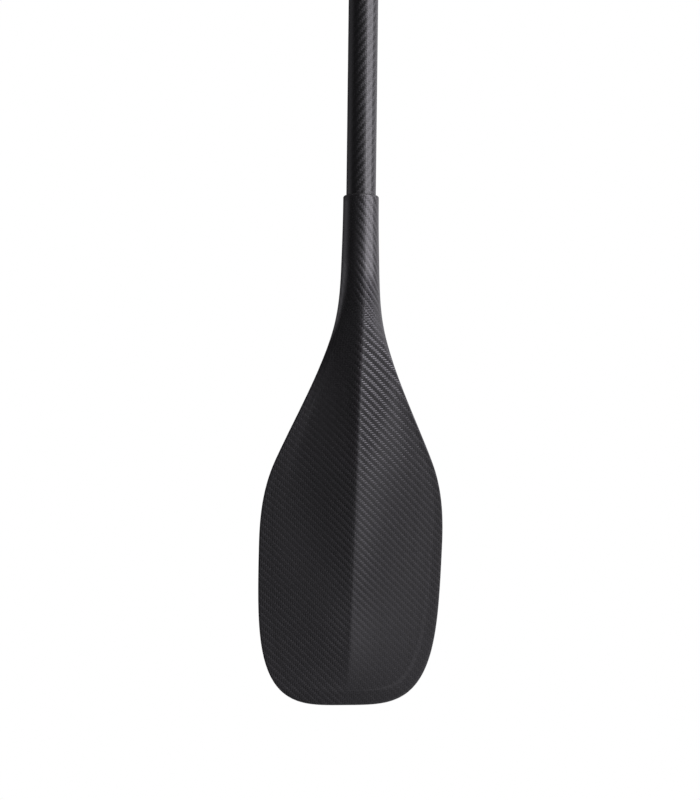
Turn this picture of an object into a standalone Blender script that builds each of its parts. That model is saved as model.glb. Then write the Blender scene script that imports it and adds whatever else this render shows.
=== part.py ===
"""Outrigger canoe paddle with a bent carbon blade, a round shaft and a T grip.

The paddle stands upright with its blade down. The shaft's axis is the Z axis, and the origin
is on it, under the arms of the grip, where a rack's pegs hold the paddle up. The power face
looks towards -Y and the blade swings away from it, towards +Y.
"""
import math
from typing import Callable, NamedTuple, Optional

import bmesh
import bpy
import numpy as np

# Whole paddle, metres
OVERALL_LENGTH = 1.270
CLEARANCE = 0.0003

# Shaft
SHAFT_RADIUS = 0.0150
SHAFT_WALL = 0.0018
SHAFT_INSERT = 0.080
SHAFT_SIDES = 48
LOWER_PLUG_LENGTH = 0.030
UPPER_PLUG_LENGTH = 0.025
PLUG_RECESS = 0.0005
PLUG_CHAMFER = 0.0008

# Neck socket, measured up from the bend
SOCKET_LENGTH = 0.105
SOCKET_RADIUS = 0.0181
NECK_RADIUS = 0.01900
NECK_WIDENS_FROM = 0.045
NECK_SLOPE = 0.030
LIP_RADIUS = 0.0026

# Bend between shaft and blade
BEND_ANGLE = math.radians(11.0)
BEND_LENGTH = 0.060

# Blade outline, measured down from the bend
BLADE_LENGTH = 0.4346
BLADE_HALF_WIDTH = 0.0963
THROAT_AT = 0.0383
THROAT_HALF_WIDTH = 0.0281
THROAT_SLOPE = 0.285
SHOULDER_AT = 0.1679
SHOULDER_HALF_WIDTH = 0.0815
SHOULDER_SLOPE = 0.420
WIDEST_AT = 0.260
TIP_ROUNDS_FROM = 0.2268
TIP_ROUNDNESS_ALONG = 4.40
TIP_ROUNDNESS_ACROSS = 3.60

# Blade section
SKIN_THICKNESS = 0.0009
EDGE_BAND_THICKNESS = 0.0012
EDGE_BAND_STARTS = 0.060
EDGE_BAND_SET_BACK = 0.0004
SEAM_OPENS_BEFORE_BAND = 0.025
SEAM_OPEN_BEFORE_BAND = 0.005
BAND_WIDTH_AT_NECK = 0.0040
BAND_WIDTH_AT_SHOULDER = 0.0085
BAND_WIDTH_AT_SIDE = 0.0135
BAND_WIDTH_AT_TIP = 0.0170
BEVEL_WIDTH = 0.0026
BEVEL_SHARE = 0.08
NARROWEST_FOR_BEVEL = BLADE_HALF_WIDTH / 4
FRONT_STEP = 0.0002
BACK_STEP = 0.0004
SCOOP_POWER = 1.45
MORPH_STARTS = -0.035
MORPH_ENDS = 0.125
RIDGE_THROAT_DEPTH = 0.0172
RIDGE_THROAT_SLOPE = -0.035
RIDGE_SHOULDER_DEPTH = 0.0128
RIDGE_SHOULDER_SLOPE = -0.030
RIDGE_TIP_SLOPE = -0.034
SPINE_THROAT_AT = 0.070
SPINE_THROAT_DEPTH = 0.0105
SPINE_THROAT_SLOPE = -0.078
SPINE_ENDS = 0.185
SPINE_HALF_WIDTH = 0.0200

# Grip
GRIP_HALF_WIDTH = 0.0530
GRIP_HALF_DEPTH = 0.0150
GRIP_BAR_HEIGHT = 0.0340
GRIP_END_DROP = 0.0040
GRIP_STEM_LENGTH = 0.0480
GRIP_SKIN = 0.0018
GRIP_SEAM = CLEARANCE
SPIGOT_IN_SHAFT = 0.050
SPIGOT_IN_GRIP = 0.030
SPIGOT_WALL = 0.0030
GRIP_FILLET = 0.0170
GRIP_PLAN_POWER = 3.2
GRIP_CROWN_POWER = 0.72
GRIP_COLUMNS = 17
GRIP_UNDER_ROWS = 9
GRIP_TOP_ROWS = 8

# Places along Z
CROWN_Z = GRIP_BAR_HEIGHT
BEND_Z = CROWN_Z - (OVERALL_LENGTH - BLADE_LENGTH)
RIM_Z = BEND_Z + SOCKET_LENGTH
SHAFT_BOTTOM_Z = RIM_Z - SHAFT_INSERT
SHAFT_TOP_Z = -GRIP_STEM_LENGTH
SHAFT_END = SHAFT_INSERT - SOCKET_LENGTH

# Counts of outline points, and where the tip's own points begin
LIP_POINTS = 4
NECK_POINTS = 4
THROAT_POINTS = 8
FLARE_POINTS = 8
SIDE_POINTS = 5
TIP_POINTS = 14
TIP_POINTS_FROM = TIP_ROUNDS_FROM + 0.3 * (BLADE_LENGTH - TIP_ROUNDS_FROM)

# Mesh clean-up
SAME_POINT = 1e-6
SMOOTH_ANGLE = math.radians(35.0)

# Columns of a blade section, from its edge to its middle
NECK_ANGLES = np.radians([0.0, 15.0, 30.0, 48.0, 62.0, 73.0, 82.0, 90.0])
INNER_SHARES = np.array([1.0, 0.66, 0.43, 0.26, 0.12, 0.0])


def smooth_step(x, low, high):
    """0 below low, 1 above high, and a smooth cubic between them."""
    t = np.clip((x - low) / (high - low), 0.0, 1.0)
    return t * t * (3.0 - 2.0 * t)


def curve_through(x, knots):
    """A smooth cubic curve through knots, each a place, a value and a slope."""
    x = np.asarray(x, float)
    y = np.where(x < knots[0][0], knots[0][1], knots[-1][1])
    for (x0, y0, m0), (x1, y1, m1) in zip(knots[:-1], knots[1:]):
        t = np.clip((x - x0) / (x1 - x0), 0.0, 1.0)
        h = x1 - x0
        rise = (3.0 - 2.0 * t) * t * t
        y = np.where(
            (x >= x0) & (x <= x1),
            y0 * (1.0 - rise) + y1 * rise + h * t * (1.0 - t) * (m0 * (1.0 - t) - m1 * t),
            y,
        )
    return y


# Outline of the neck and blade


def half_width(s):
    """Half the width of neck and blade at s, measured down the paddle from the bend."""
    sides = curve_through(
        s,
        [
            (-SOCKET_LENGTH + LIP_RADIUS, SOCKET_RADIUS, 0.0),
            (-NECK_WIDENS_FROM, NECK_RADIUS, NECK_SLOPE),
            (THROAT_AT, THROAT_HALF_WIDTH, THROAT_SLOPE),
            (SHOULDER_AT, SHOULDER_HALF_WIDTH, SHOULDER_SLOPE),
            (WIDEST_AT, BLADE_HALF_WIDTH, 0.0),
        ],
    )
    t = np.clip((s - TIP_ROUNDS_FROM) / (BLADE_LENGTH - TIP_ROUNDS_FROM), 0.0, 1.0)
    tip = BLADE_HALF_WIDTH * (1.0 - t**TIP_ROUNDNESS_ALONG) ** (1.0 / TIP_ROUNDNESS_ACROSS)
    return np.minimum(sides, tip)


def lip_points():
    """The rounded lip of the socket: a quarter circle from its flat top to its side."""
    a = np.linspace(0.0, math.pi / 2, LIP_POINTS)
    return np.stack(
        [
            SOCKET_RADIUS - LIP_RADIUS * (1.0 - np.sin(a)),
            -SOCKET_LENGTH + LIP_RADIUS * (1.0 - np.cos(a)),
        ],
        axis=1,
    )


def side_points(stations):
    """Outline points at the given stations."""
    return np.stack([half_width(stations), stations], axis=1)


def tip_points(start, count):
    """The rounded tip from the station start to its middle, evenly spaced by angle."""
    reach = (start - TIP_ROUNDS_FROM) / (BLADE_LENGTH - TIP_ROUNDS_FROM)
    first = math.asin(reach ** (TIP_ROUNDNESS_ALONG / 2))
    a = np.linspace(first, math.pi / 2, count)
    along = np.sin(a) ** (2.0 / TIP_ROUNDNESS_ALONG)
    across = np.maximum(np.cos(a), 0.0) ** (2.0 / TIP_ROUNDNESS_ACROSS)
    across[-1] = 0.0
    return np.stack(
        [BLADE_HALF_WIDTH * across, TIP_ROUNDS_FROM + (BLADE_LENGTH - TIP_ROUNDS_FROM) * along],
        axis=1,
    )


def blade_stations(start):
    """Stations from start to where the tip's own points begin, closer together at the throat."""
    throat = np.linspace(MORPH_STARTS, EDGE_BAND_STARTS, THROAT_POINTS)
    flare = np.linspace(EDGE_BAND_STARTS, SPINE_ENDS, FLARE_POINTS)[1:]
    side = np.linspace(SPINE_ENDS, TIP_POINTS_FROM, SIDE_POINTS)[1:]
    stations = np.concatenate([throat, flare, side])
    return np.concatenate([[start], stations[stations > start + CLEARANCE]])


def blade_outline(start):
    """Outline of one half from the station start down to the middle of the tip."""
    stations = blade_stations(start)
    return np.concatenate([side_points(stations[:-1]), tip_points(stations[-1], TIP_POINTS)])


def skin_outline():
    """Outline of one half of a skin, from the socket's lip to the middle of the tip."""
    neck = np.linspace(-SOCKET_LENGTH + LIP_RADIUS, MORPH_STARTS, NECK_POINTS)[1:-1]
    return np.concatenate([lip_points(), side_points(neck), blade_outline(MORPH_STARTS)])


def inward(points):
    """Unit vectors square to the outline, pointing into the blade."""
    run = np.gradient(points, axis=0)
    normal = np.stack([-run[:, 1], run[:, 0]], axis=1)
    normal /= np.linalg.norm(normal, axis=1)[:, None]
    normal[-1] = (0.0, -1.0)
    return normal


def band_width(s):
    """Width of the flat band round the blade, square to its edge."""
    return np.interp(
        s,
        [0.0, SHOULDER_AT, WIDEST_AT, BLADE_LENGTH],
        [BAND_WIDTH_AT_NECK, BAND_WIDTH_AT_SHOULDER, BAND_WIDTH_AT_SIDE, BAND_WIDTH_AT_TIP],
    )


def ring_lines(points):
    """The band's inner line and the top of the bevel, for one half."""
    normal = inward(points)
    band = band_width(points[:, 1])
    bevel = np.minimum(BEVEL_WIDTH, BEVEL_SHARE * np.maximum(points[:, 0], NARROWEST_FOR_BEVEL))
    inner = points + normal * band[:, None]
    top = points + normal * (band + bevel)[:, None]
    inner[-1, 0] = top[-1, 0] = 0.0
    return inner, top


# Heights of the section above the blade's middle plane


def edge_half_thickness():
    """Half the blade's thickness at its edge: half the band, a clearance and a skin."""
    return EDGE_BAND_THICKNESS / 2 + CLEARANCE + SKIN_THICKNESS


def seam_height(s):
    """Half the gap between the skins: closed at the neck, open round the edge band."""
    closed, opened = CLEARANCE / 2, EDGE_BAND_THICKNESS / 2 + CLEARANCE
    first = EDGE_BAND_STARTS - SEAM_OPENS_BEFORE_BAND
    last = EDGE_BAND_STARTS - SEAM_OPEN_BEFORE_BAND
    return closed + (opened - closed) * smooth_step(s, first, last)


def front_depth(s):
    """Height of the ridge down the middle of the power face."""
    ridge_end = BLADE_LENGTH - BAND_WIDTH_AT_TIP - BEVEL_WIDTH
    return curve_through(
        s,
        [
            (MORPH_STARTS, float(half_width(MORPH_STARTS)), 0.0),
            (THROAT_AT, RIDGE_THROAT_DEPTH, RIDGE_THROAT_SLOPE),
            (SHOULDER_AT, RIDGE_SHOULDER_DEPTH, RIDGE_SHOULDER_SLOPE),
            (ridge_end, edge_half_thickness() + FRONT_STEP, RIDGE_TIP_SLOPE),
        ],
    )


def back_depth(s):
    """Depth of the spine down the middle of the back, which fades into the flat panel."""
    return curve_through(
        s,
        [
            (MORPH_STARTS, float(half_width(MORPH_STARTS)), 0.0),
            (SPINE_THROAT_AT, SPINE_THROAT_DEPTH, SPINE_THROAT_SLOPE),
            (SPINE_ENDS, edge_half_thickness() + BACK_STEP, 0.0),
        ],
    )


def front_rise(t):
    """A ridge with scooped flanks: full height in the middle, none at the bevel."""
    return (1.0 - t) ** SCOOP_POWER


def back_rise(t):
    """A rounded spine: full height in the middle, none at its own half width."""
    return np.cos(t * math.pi / 2) ** 2


class Face(NamedTuple):
    """One face of the blade: its middle line, its shape across, its step and its half width."""

    depth: Callable
    rise: Callable
    step: float
    half_width: Optional[float]


FRONT = Face(front_depth, front_rise, FRONT_STEP, None)
BACK = Face(back_depth, back_rise, BACK_STEP, SPINE_HALF_WIDTH)


def wall_thickness(s):
    """Wall of the neck: it fills the space round the shaft, then thins to the skin."""
    thick = NECK_RADIUS - SHAFT_RADIUS - CLEARANCE
    return thick + (SKIN_THICKNESS - thick) * smooth_step(s, SHAFT_END, THROAT_AT)


def mirror_columns(half):
    """Columns of the right half, mirrored to run from one edge to the other."""
    left = half[:, :-1] * np.array([-1.0, 1.0, 1.0])
    return np.concatenate([half, left[:, ::-1]], axis=1)


def section_rows(points, face, outer):
    """Rows of a skin's outer or inner surface, as across, along and height for each column.

    A row is a half circle at the neck and the blade's flat-edged section further down, and
    the two are mixed point by point where one turns into the other.
    """
    inner, top = ring_lines(points)
    s_edge, s_top = points[:, 1], top[:, 1]
    morph = smooth_step(s_edge, MORPH_STARTS, MORPH_ENDS)
    seam = seam_height(s_edge)
    flat = edge_half_thickness()
    rise_height = np.maximum(face.depth(s_top) - flat - face.step, 0.0)

    blade = np.zeros((len(points), len(NECK_ANGLES), 3))
    blade[:, 0, :2] = points
    blade[:, 1, :2] = inner
    for column, share in enumerate(INNER_SHARES, start=2):
        u = top[:, 0] * share
        t = share if face.half_width is None else np.clip(u / face.half_width, 0.0, 1.0)
        blade[:, column, 0] = u
        blade[:, column, 1] = s_top
        blade[:, column, 2] = flat + face.step + rise_height * face.rise(t)
    blade[:, :2, 2] = flat

    neck = np.zeros_like(blade)
    wide = points[:, 0]
    deep = np.where(s_edge < MORPH_STARTS, wide, face.depth(s_edge))
    if not outer:
        bore = SHAFT_RADIUS + CLEARANCE
        blade[:, 2:, 2] -= SKIN_THICKNESS
        blade[:, :2, 2] = seam[:, None]
        thin = wall_thickness(s_edge)
        wide = np.where(s_edge < SHAFT_END, bore, wide - thin)
        deep = np.where(s_edge < SHAFT_END, bore, deep - thin)
    neck[:, :, 0] = wide[:, None] * np.cos(NECK_ANGLES)
    neck[:, :, 1] = s_edge[:, None]
    neck[:, :, 2] = deep[:, None] * np.sin(NECK_ANGLES)
    neck[:, 0, 2] = seam
    mixed = neck + (blade - neck) * morph[:, None, None]
    mixed[:, -1, 0] = 0.0
    last = mixed[-1]
    last[2:] = last[2]
    last[:, 0] = 0.0
    return mirror_columns(mixed)


# From the paddle's own lengths to the world


def to_world(rows, side):
    """World points of rows given as across, along the bent middle line, and height from it."""
    u, s, height = rows[..., 0], rows[..., 1], rows[..., 2] * side
    turn = np.clip((s + BEND_LENGTH / 2) / BEND_LENGTH, 0.0, 1.0) * BEND_ANGLE
    radius = BEND_LENGTH / BEND_ANGLE
    before = np.minimum(s + BEND_LENGTH / 2, 0.0)
    after = np.maximum(s - BEND_LENGTH / 2, 0.0)
    y = radius * (1.0 - np.cos(turn)) + after * math.sin(BEND_ANGLE)
    z = BEND_LENGTH / 2 - before - radius * np.sin(turn) - after * math.cos(BEND_ANGLE)
    return np.stack(
        [u, y - height * np.cos(turn), BEND_Z + z - height * np.sin(turn)], axis=-1
    )


# Mesh making


def finish_object(name, bm, material):
    """An object of this mesh, with doubled points merged and its curved faces smooth."""
    bmesh.ops.remove_doubles(bm, verts=bm.verts, dist=SAME_POINT)
    bmesh.ops.dissolve_degenerate(bm, edges=bm.edges, dist=SAME_POINT)
    bmesh.ops.recalc_face_normals(bm, faces=bm.faces)
    mesh = bpy.data.meshes.new(name)
    bm.to_mesh(mesh)
    bm.free()
    mesh.shade_smooth()
    mesh.set_sharp_from_angle(angle=SMOOTH_ANGLE)
    mesh.materials.append(material)
    obj = bpy.data.objects.new(name, mesh)
    bpy.context.scene.collection.objects.link(obj)
    return obj


def add_grid(bm, points):
    """Vertices of a grid of points, and the faces between them."""
    rows, columns = points.shape[:2]
    verts = [[bm.verts.new(point) for point in row] for row in points]
    for i in range(rows - 1):
        for j in range(columns - 1):
            bm.faces.new((verts[i][j], verts[i][j + 1], verts[i + 1][j + 1], verts[i + 1][j]))
    return verts


def add_wall(bm, first, second):
    """Faces between two lines of vertices."""
    for a, b, c, d in zip(first[:-1], first[1:], second[1:], second[:-1]):
        bm.faces.new((a, b, c, d))


def thick_sheet(name, outer, inner, material):
    """A closed body between two grids of like rows, walled along all its sides.

    A last row that lies on the middle line is shared by both grids and needs no wall.
    """
    bm = bmesh.new()
    top = add_grid(bm, outer)
    under = add_grid(bm, inner)
    add_wall(bm, [row[0] for row in top], [row[0] for row in under])
    add_wall(bm, [row[-1] for row in top], [row[-1] for row in under])
    add_wall(bm, top[0], under[0])
    if np.ptp(outer[-1][:, 0]) > SAME_POINT:
        add_wall(bm, top[-1], under[-1])
    return finish_object(name, bm, material)


def turned(name, profile, material):
    """A closed profile of radius and height, turned about the Z axis."""
    bm = bmesh.new()
    verts = [bm.verts.new((radius, 0.0, z)) for radius, z in profile]
    edges = [bm.edges.new(pair) for pair in zip(verts, verts[1:] + verts[:1])]
    bmesh.ops.spin(
        bm,
        geom=verts + edges,
        axis=(0.0, 0.0, 1.0),
        cent=(0.0, 0.0, 0.0),
        angle=math.tau,
        steps=SHAFT_SIDES,
        use_merge=True,
    )
    return finish_object(name, bm, material)


def surface_material(name, color, roughness):
    """A plain material of one colour and roughness."""
    material = bpy.data.materials.new(name)
    material.use_nodes = True
    shader = material.node_tree.nodes["Principled BSDF"]
    shader.inputs["Base Color"].default_value = (*color, 1.0)
    shader.inputs["Roughness"].default_value = roughness
    material.diffuse_color = (*color, 1.0)
    return material


def carbon_material(name):
    """Clear-coated carbon cloth."""
    return surface_material(name, (0.022, 0.021, 0.023), 0.38)


def foam_material(name):
    """Light rigid foam."""
    return surface_material(name, (0.62, 0.56, 0.42), 0.85)


def laminate_material(name):
    """Bare carbon laminate."""
    return surface_material(name, (0.045, 0.043, 0.045), 0.55)


def plug_material(name):
    """Grey closed-cell foam."""
    return surface_material(name, (0.12, 0.13, 0.14), 0.9)


# Blade


def blade_skin(name, face, side):
    """One skin of the blade with its half of the neck's socket."""
    points = skin_outline()
    outer = to_world(section_rows(points, face, True), side)
    inner = to_world(section_rows(points, face, False), side)
    return thick_sheet(name, outer, inner, carbon_material(name + "_carbon"))


def core_rows(points, face):
    """One face of the foam core: the skin's inner surface, set back by the clearance."""
    rows = section_rows(points, face, False)
    inner, _ = ring_lines(points)
    s_edge = points[:, 1]
    narrow = smooth_step(s_edge, MORPH_STARTS, EDGE_BAND_STARTS - BEVEL_WIDTH)[:, None]
    neck_rim = np.stack([np.abs(rows[:, 0, 0]), s_edge], axis=1)
    rim = neck_rim + (inner - neck_rim) * narrow + inward(points) * CLEARANCE
    rim[-1, 0] = 0.0
    rows = np.delete(rows, [1, rows.shape[1] - 2], axis=1)
    rows[:, :, 2] -= CLEARANCE
    rows[:, 0] = np.column_stack([rim, np.full(len(rim), EDGE_BAND_THICKNESS / 2)])
    rows[:, -1] = rows[:, 0] * np.array([-1.0, 1.0, 1.0])
    return rows


def blade_foam_core():
    """The foam between the skins, from the shaft's end to the edge band."""
    points = blade_outline(SHAFT_END + CLEARANCE)
    front = to_world(core_rows(points, FRONT), 1)
    back = to_world(core_rows(points, BACK), -1)
    return thick_sheet("blade_foam_core", front, back, foam_material("blade_foam"))


def blade_edge_band():
    """The solid band between the skins: one plate that follows the edge round the tip."""
    points = blade_outline(EDGE_BAND_STARTS)
    inner, _ = ring_lines(points)
    edge = points + inward(points) * EDGE_BAND_SET_BACK
    mirror = np.array([-1.0, 1.0])
    run = [np.concatenate([line, line[-2::-1] * mirror]) for line in (edge, inner)]
    flat = np.stack(run, axis=1)
    half = EDGE_BAND_THICKNESS / 2
    faces = []
    for height in (half, -half):
        level = np.full((*flat.shape[:2], 1), height)
        faces.append(to_world(np.concatenate([flat, level], axis=-1), 1))
    return thick_sheet("blade_edge_band", faces[0], faces[1], laminate_material("edge_laminate"))


# Shaft


def shaft_tube():
    """The shaft: a plain tube from the neck's socket up to the grip."""
    inner = SHAFT_RADIUS - SHAFT_WALL
    profile = [
        (inner, SHAFT_TOP_Z),
        (SHAFT_RADIUS, SHAFT_TOP_Z),
        (SHAFT_RADIUS, SHAFT_BOTTOM_Z),
        (inner, SHAFT_BOTTOM_Z),
    ]
    return turned("shaft_tube", profile, carbon_material("shaft_carbon"))


def shaft_plug(name, bottom, length):
    """A foam rod with chamfered ends that closes the shaft's bore."""
    radius = SHAFT_RADIUS - SHAFT_WALL - CLEARANCE
    top = bottom + length
    profile = [
        (0.0, top),
        (radius - PLUG_CHAMFER, top),
        (radius, top - PLUG_CHAMFER),
        (radius, bottom + PLUG_CHAMFER),
        (radius - PLUG_CHAMFER, bottom),
        (0.0, bottom),
    ]
    return turned(name, profile, plug_material(name + "_foam"))


# Grip


def grip_plan(angle, half_width, half_depth):
    """Reach of the grip's bar from the shaft's axis, seen from above: a rounded oblong."""
    across = np.abs(np.cos(angle)) / half_width
    deep = np.abs(np.sin(angle)) / half_depth
    return (across**GRIP_PLAN_POWER + deep**GRIP_PLAN_POWER) ** (-1.0 / GRIP_PLAN_POWER)


def grip_surface(angles, inset, bottom):
    """Rows of the grip from its stem up to its crown, every size less by the inset.

    Under the arms each line is a Bezier curve from the stem out to the bar's edge, and over
    the top it is a quarter of a superellipse that closes on the crown.
    """
    stem = SHAFT_RADIUS - inset
    reach = grip_plan(angles, GRIP_HALF_WIDTH - inset, GRIP_HALF_DEPTH - inset)
    middle = np.full_like(angles, GRIP_BAR_HEIGHT / 2)
    under = np.full_like(angles, inset)
    fillet = -GRIP_FILLET
    rows = [np.stack([np.full_like(angles, stem), np.full_like(angles, bottom)], axis=1)]
    for t in np.linspace(0.0, 1.0, GRIP_UNDER_ROWS):
        a, b, c, d = (1 - t) ** 3, 3 * t * (1 - t) ** 2, 3 * t * t * (1 - t), t**3
        radius = stem * (a + b) + reach * (c + d)
        height = fillet * a + under * (b + c) + middle * d
        rows.append(np.stack([radius, height], axis=1))
    for t in np.linspace(0.0, math.pi / 2, GRIP_TOP_ROWS)[1:]:
        radius = reach * max(math.cos(t), 0.0) ** GRIP_CROWN_POWER
        rise = (CROWN_Z - inset - middle) * math.sin(t) ** GRIP_CROWN_POWER
        rows.append(np.stack([radius, middle + rise], axis=1))
    rows = np.array(rows)
    rows[-1, :, 0] = 0.0
    radius, z = rows[:, :, 0], rows[:, :, 1]
    x, y = radius * np.cos(angles), radius * np.sin(angles)
    beyond_stem = np.maximum(np.abs(x) - SHAFT_RADIUS, 0.0) / (GRIP_HALF_WIDTH - SHAFT_RADIUS)
    z = z - GRIP_END_DROP * beyond_stem**2
    return np.stack([x, y, z], axis=-1)


def grip_shell(name, start, side):
    """Half of the grip's carbon shell, from one seam round to the other."""
    angles = np.linspace(start, start + math.pi, GRIP_COLUMNS)
    outer = grip_surface(angles, 0.0, SHAFT_TOP_Z + CLEARANCE)
    inner = grip_surface(angles, GRIP_SKIN, SHAFT_TOP_Z + CLEARANCE)
    for rows in (outer, inner):
        rows[..., 1] = side * np.maximum(side * rows[..., 1], GRIP_SEAM / 2)
    return thick_sheet(name, outer, inner, carbon_material(name + "_carbon"))


def grip_foam_core():
    """Foam that fills the grip above the spigot."""
    angles = np.linspace(0.0, math.tau, 2 * GRIP_COLUMNS - 1)
    bottom = SHAFT_TOP_Z + SPIGOT_IN_GRIP + CLEARANCE
    rows = grip_surface(angles, GRIP_SKIN + CLEARANCE, bottom)
    closing = rows[:1] * np.array([0.0, 0.0, 1.0])
    bm = bmesh.new()
    add_grid(bm, np.concatenate([closing, rows]))
    return finish_object("grip_foam_core", bm, foam_material("grip_foam"))


def grip_spigot():
    """The tenon that joins grip and shaft: a tube with a step where their bores differ."""
    low = SHAFT_RADIUS - SHAFT_WALL - CLEARANCE
    high = SHAFT_RADIUS - GRIP_SKIN - CLEARANCE
    bore = low - SPIGOT_WALL
    profile = [
        (bore, SHAFT_TOP_Z + SPIGOT_IN_GRIP),
        (high, SHAFT_TOP_Z + SPIGOT_IN_GRIP),
        (high, SHAFT_TOP_Z + CLEARANCE / 2),
        (low, SHAFT_TOP_Z - CLEARANCE / 2),
        (low, SHAFT_TOP_Z - SPIGOT_IN_SHAFT),
        (bore, SHAFT_TOP_Z - SPIGOT_IN_SHAFT),
    ]
    return turned("grip_spigot", profile, laminate_material("spigot_laminate"))


def clear_scene():
    """Remove whatever the starting file holds."""
    for obj in list(bpy.data.objects):
        bpy.data.objects.remove(obj, do_unlink=True)


def main():
    """Build every piece of the paddle."""
    clear_scene()
    blade_skin("blade_front_skin", FRONT, 1)
    blade_skin("blade_back_skin", BACK, -1)
    blade_foam_core()
    blade_edge_band()
    shaft_tube()
    shaft_plug("shaft_lower_plug", SHAFT_BOTTOM_Z + PLUG_RECESS, LOWER_PLUG_LENGTH)
    upper_plug_top = SHAFT_TOP_Z - SPIGOT_IN_SHAFT - CLEARANCE
    shaft_plug("shaft_upper_plug", upper_plug_top - UPPER_PLUG_LENGTH, UPPER_PLUG_LENGTH)
    grip_shell("grip_front_shell", math.pi, -1)
    grip_shell("grip_back_shell", 0.0, 1)
    grip_foam_core()
    grip_spigot()


if __name__ == "__main__":
    main()
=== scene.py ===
"""Outrigger canoe paddle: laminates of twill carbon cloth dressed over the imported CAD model.

It is laid out as a Blender add-on and run as a script. Sizes are metres in the CAD's own frame:
the shaft's axis is Z, the blade hangs down and its power face looks towards -Y.
"""
import math

import bmesh
import bpy
import numpy as np
from bpy.props import FloatProperty, FloatVectorProperty, PointerProperty
from mathutils import Matrix, Vector


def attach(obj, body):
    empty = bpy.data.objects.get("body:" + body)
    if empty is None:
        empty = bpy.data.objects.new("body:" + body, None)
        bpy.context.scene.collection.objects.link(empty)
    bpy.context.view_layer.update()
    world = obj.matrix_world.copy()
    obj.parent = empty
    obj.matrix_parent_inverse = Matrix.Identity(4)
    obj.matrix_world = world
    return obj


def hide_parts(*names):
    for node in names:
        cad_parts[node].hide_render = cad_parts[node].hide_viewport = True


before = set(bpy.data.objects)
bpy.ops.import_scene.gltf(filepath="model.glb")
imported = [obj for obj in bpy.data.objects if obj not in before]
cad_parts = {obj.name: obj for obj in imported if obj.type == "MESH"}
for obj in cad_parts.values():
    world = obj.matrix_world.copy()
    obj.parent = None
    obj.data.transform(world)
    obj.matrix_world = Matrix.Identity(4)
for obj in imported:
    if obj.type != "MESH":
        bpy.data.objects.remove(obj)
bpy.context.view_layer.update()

bl_info = {
    "name": "Outrigger Paddle Dressing",
    "version": (1, 0, 0),
    "blender": (4, 5, 0),
    "location": "3D View > Sidebar > Paddle",
    "description": "Laminates, cloth finishes and studio for an outrigger canoe paddle",
    "category": "Object",
}

# The photograph's frame and the lens that was found for it
LONGER_SIDE_PIXELS = 800
FOCAL_PIXELS = 1671.6
SENSOR_WIDTH = 36.0
CAMERA_AZIMUTH = math.radians(-6.7)
CAMERA_ROLL = math.radians(0.694)
CAMERA_DISTANCE = 1.6957
TARGET_ACROSS = -0.00870
TARGET_BELOW_BEND = 0.1024

# Sizes repeated from the part's source
OVERALL_LENGTH = 1.270
CLEARANCE = 0.0003
SHAFT_RADIUS = 0.0150
SHAFT_WALL = 0.0018
SHAFT_INSERT = 0.080
SOCKET_LENGTH = 0.105
SOCKET_RADIUS = 0.0181
NECK_RADIUS = 0.01900
NECK_WIDENS_FROM = 0.045
NECK_SLOPE = 0.030
LIP_RADIUS = 0.0026
BEND_ANGLE = math.radians(11.0)
BEND_LENGTH = 0.060
BLADE_LENGTH = 0.4346
BLADE_HALF_WIDTH = 0.0963
THROAT_AT = 0.0383
THROAT_HALF_WIDTH = 0.0281
THROAT_SLOPE = 0.285
SHOULDER_AT = 0.1679
SHOULDER_HALF_WIDTH = 0.0815
SHOULDER_SLOPE = 0.420
WIDEST_AT = 0.260
TIP_ROUNDS_FROM = 0.2268
TIP_ROUNDNESS_ALONG = 4.40
TIP_ROUNDNESS_ACROSS = 3.60
SKIN_THICKNESS = 0.0009
EDGE_BAND_THICKNESS = 0.0012
BAND_WIDTHS = ((0.0, SHOULDER_AT, WIDEST_AT, BLADE_LENGTH), (0.0040, 0.0085, 0.0135, 0.0170))
BEVEL_WIDTH = 0.0045
BEVEL_SHARE = 0.08
NARROWEST_BEVELLED = 0.0241
FRONT_STEP = 0.00025
BACK_STEP = 0.0004
MORPH_STARTS = -0.035
MORPH_ENDS = 0.125
RIDGE_THROAT = (THROAT_AT, 0.0172, -0.035)
RIDGE_SHOULDER = (SHOULDER_AT, 0.0128, -0.030)
RIDGE_TIP_SLOPE = -0.034
SPINE_THROAT = (0.070, 0.0105, -0.078)
SPINE_ENDS = 0.185
SPINE_HALF_WIDTH = 0.0200
GRIP_HALF_WIDTH = 0.0530
GRIP_HALF_DEPTH = 0.0150
GRIP_BAR_HEIGHT = 0.0340
GRIP_END_DROP = 0.0040
GRIP_STEM_LENGTH = 0.0480
GRIP_SKIN = 0.0018
GRIP_FILLET = 0.0170
GRIP_PLAN_POWER = 3.2
GRIP_CROWN_POWER = 0.72

# Places along Z
CROWN_Z = GRIP_BAR_HEIGHT
BEND_Z = CROWN_Z - (OVERALL_LENGTH - BLADE_LENGTH)
RIM_Z = BEND_Z + SOCKET_LENGTH
SHAFT_BOTTOM_Z = RIM_Z - SHAFT_INSERT
SHAFT_TOP_Z = -GRIP_STEM_LENGTH
SHAFT_END = SHAFT_INSERT - SOCKET_LENGTH
TIP_Z = BEND_Z - BLADE_LENGTH

# Details that only the dressed paddle has
FLAT_HALF = EDGE_BAND_THICKNESS / 2 + CLEARANCE + SKIN_THICKNESS
EDGE_ROUNDING = 0.0011
SEAM_HALF = 0.00005
BAND_SEAM_HALF = 0.00060
BAND_SHOWS_FROM = 0.050
BAND_FULL_FROM = 0.075
RIDGE_SOFTNESS = ((THROAT_AT, SHOULDER_AT), (0.0055, 0.0024))
RIDGE_OFFSET = 0.0020
RIDGE_OFFSET_AT = ((-0.035, 0.030, 0.370, BLADE_LENGTH), (0.0, 1.0, 1.0, 0.0))
SCOOP_BROAD = (0.80, 1.30)
SCOOP_NARROW = (0.20, 4.0)
SHAFT_TOWS_AROUND = 48
SHAFT_EASE = 0.0003

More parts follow.
